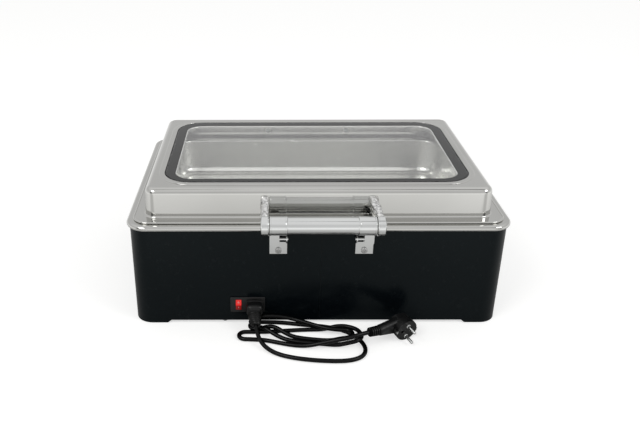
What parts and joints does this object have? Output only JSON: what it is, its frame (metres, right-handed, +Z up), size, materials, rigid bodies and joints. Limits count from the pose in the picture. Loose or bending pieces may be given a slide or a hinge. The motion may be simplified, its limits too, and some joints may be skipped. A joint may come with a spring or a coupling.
{
  "type": "electric chafing dish",
  "caption": "Rectangular electric food warmer: black sheet casing, water pan, food pan and a hinged steel lid with a glass window, with a rocker switch and a mains lead.",
  "frame": {"origin": "centre of the casing's footprint, on the table under the rubber feet", "axes": "+X along the long side, +Y from the hinge side to the serving side, +Z up"},
  "size_m": [0.6058, 0.5333, 0.2301],
  "materials": {
    "black_coat": "satin",
    "polished_steel": "polished",
    "satin_steel": "satin",
    "plated_steel": "polished",
    "zinc_steel": "zinc plated",
    "cast_alloy": "satin",
    "plate_alloy": "milled",
    "element_steel": "oxidised",
    "brass_plate": "nickel plated",
    "clear_glass": "clear",
    "black_rubber": "matt",
    "black_plastic": "moulded",
    "red_plastic": "gloss",
    "brown_resin": "moulded",
    "cord_rubber": "satin",
    "bush_plastic": "moulded"
  },
  "bodies": {
    "base": {"base_casing": "black_coat", "seam_rivets": "black_coat", "water_pan": "polished_steel", "food_pan": "satin_steel", "hinge_tube": "plated_steel", "hinge_strap_left": "plated_steel", "hinge_strap_right": "plated_steel", "bracket_pins": "plated_steel", "bracket_screws": "plated_steel", "hinge_bracket_left": "plated_steel", "hinge_bracket_right": "plated_steel", "plug_pins": "plated_steel", "plug_earth_clips": "plated_steel", "bottom_plate": "zinc_steel", "seam_strip": "zinc_steel", "bottom_screws": "zinc_steel", "element_clamps": "zinc_steel", "clamp_screws": "zinc_steel", "sensor_screws": "zinc_steel", "heater_studs": "zinc_steel", "stud_nuts": "zinc_steel", "heat_shield": "zinc_steel", "earth_stud": "zinc_steel", "bracket_nuts": "zinc_steel", "heater_plate": "plate_alloy", "heating_element": "element_steel", "inlet_pins": "brass_plate", "switch_terminals": "brass_plate", "foot_pads": "black_rubber", "connector_relief": "black_rubber", "plug_relief": "black_rubber", "inlet_housing": "black_plastic", "cord_connector": "black_plastic", "plug_body": "black_plastic", "thermostat": "brown_resin", "thermal_cutout": "brown_resin", "power_cord": "cord_rubber", "wiring": "cord_rubber", "hinge_bushes": "bush_plastic", "damper_left": "bush_plastic", "damper_right": "bush_plastic"},
    "lid": {"lid_shell": "polished_steel", "lid_glass": "clear_glass", "glass_seal": "black_rubber", "lid_arm_left": "cast_alloy", "lid_arm_right": "cast_alloy", "arm_backplates": "zinc_steel", "arm_screws": "zinc_steel", "lid_handle": "plated_steel", "handle_washers": "bush_plastic", "handle_screws": "zinc_steel", "hinge_shafts": "plated_steel"},
    "rocker": {"rocker_switch": "red_plastic"}
  },
  "joints": [
    {"name": "lid_hinge", "type": "hinge", "parent": "base", "child": "lid", "pos_m": [0.004, -0.2153, 0.18725], "axis": [1, 0, 0], "range_deg": [0, 90]},
    {"name": "rocker_pivot", "type": "hinge", "parent": "base", "child": "rocker", "pos_m": [-0.1271, -0.1988, 0.0366], "axis": [1, 0, 0], "range_deg": [0, 16]}
  ]
}
